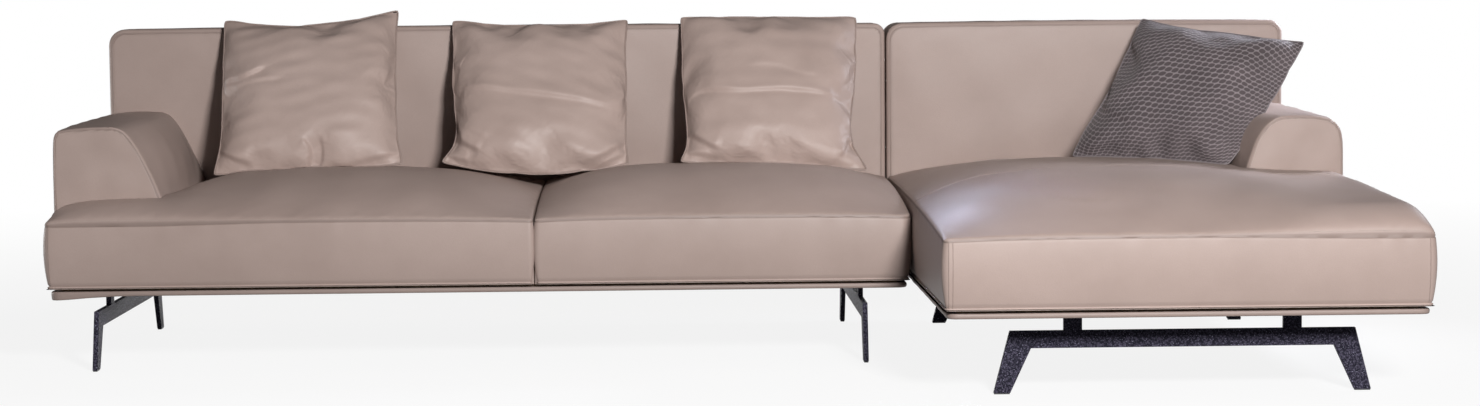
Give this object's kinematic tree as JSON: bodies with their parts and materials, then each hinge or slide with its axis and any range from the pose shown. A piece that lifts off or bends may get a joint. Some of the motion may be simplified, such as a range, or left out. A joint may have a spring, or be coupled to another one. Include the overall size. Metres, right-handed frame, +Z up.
{
  "type": "corner sofa",
  "caption": "Low corner sofa in leather with a chaise on the right, crowned seats, slim arms, scatter cushions, thin plinth and flat-bar sled legs.",
  "frame": {"origin": "on the floor, under the middle of the whole sofa's width and depth", "axes": "+X to the right seen from the front, +Y from the chaise's front end to the back, +Z up"},
  "size_m": [3.18, 1.6499, 0.8581],
  "materials": {
    "taupe_leather": "soft aniline-look leather, fine grain, low sheen",
    "woven_fabric": "coarse basket weave, grey-taupe with lighter threads",
    "foam": "open-cell upholstery foam",
    "feather_fibre": "soft fibre filling in a cotton bag",
    "timber": "planed softwood",
    "plywood": "plain birch plywood",
    "fibreboard": "hardboard",
    "webbing": "woven elastic strap",
    "felt": "pressed felt",
    "lining_cloth": "thin black non-woven cloth",
    "hammered_steel": "near-black hammered coating with a bluish sparkle",
    "zinc_steel": "bright zinc plating",
    "glide_plastic": "moulded black plastic"
  },
  "bodies": {
    "sofa": {"base_bolts": "zinc_steel", "chaise_back_cover": "taupe_leather", "chaise_back_foam": "foam", "chaise_back_frame": "plywood", "chaise_back_panel": "fibreboard", "chaise_back_webbing": "webbing", "chaise_base_board": "plywood", "chaise_base_frame": "timber", "chaise_deck_felt": "felt", "chaise_dust_cover": "lining_cloth", "chaise_front_sled": "hammered_steel", "chaise_gap_spacers": "timber", "chaise_plinth_wrap": "taupe_leather", "chaise_rear_sled": "hammered_steel", "chaise_seat_cover": "taupe_leather", "chaise_seat_foam": "foam", "chaise_seat_webbing": "webbing", "foot_glides": "glide_plastic", "left_arm_cover": "taupe_leather", "left_arm_foam": "foam", "left_arm_frame": "plywood", "left_sled": "hammered_steel", "middle_sled": "hammered_steel", "module_link_plates": "hammered_steel", "right_arm_cover": "taupe_leather", "right_arm_foam": "foam", "right_arm_frame": "plywood", "sled_mounting_plates": "hammered_steel", "sofa_back_cover": "taupe_leather", "sofa_back_foam": "foam", "sofa_back_frame": "plywood", "sofa_back_panel": "fibreboard", "sofa_back_webbing": "webbing", "sofa_base_board": "plywood", "sofa_base_frame": "timber", "sofa_deck_felt": "felt", "sofa_dust_cover": "lining_cloth", "sofa_gap_spacers": "timber", "sofa_left_seat_cover": "taupe_leather", "sofa_left_seat_foam": "foam", "sofa_plinth_wrap": "taupe_leather", "sofa_right_seat_cover": "taupe_leather", "sofa_right_seat_foam": "foam", "sofa_seat_webbing": "webbing", "tee_nuts": "zinc_steel"},
    "left_leather_cushion": {"left_leather_cushion_cover": "taupe_leather", "left_leather_cushion_filling": "feather_fibre"},
    "middle_leather_cushion": {"middle_leather_cushion_cover": "taupe_leather", "middle_leather_cushion_filling": "feather_fibre"},
    "right_leather_cushion": {"right_leather_cushion_cover": "taupe_leather", "right_leather_cushion_filling": "feather_fibre"},
    "woven_cushion": {"woven_cushion_cover": "woven_fabric", "woven_cushion_filling": "feather_fibre"}
  },
  "joints": [
    {"name": "left_leather_cushion_lift", "type": "slide", "parent": "sofa", "child": "left_leather_cushion", "axis": [0, 0, 1], "range_m": [0, 0.4]},
    {"name": "middle_leather_cushion_lift", "type": "slide", "parent": "sofa", "child": "middle_leather_cushion", "axis": [0, 0, 1], "range_m": [0, 0.4]},
    {"name": "right_leather_cushion_lift", "type": "slide", "parent": "sofa", "child": "right_leather_cushion", "axis": [0, 0, 1], "range_m": [0, 0.4]},
    {"name": "woven_cushion_lift", "type": "slide", "parent": "sofa", "child": "woven_cushion", "axis": [0, 0, 1], "range_m": [0, 0.4]}
  ]
}
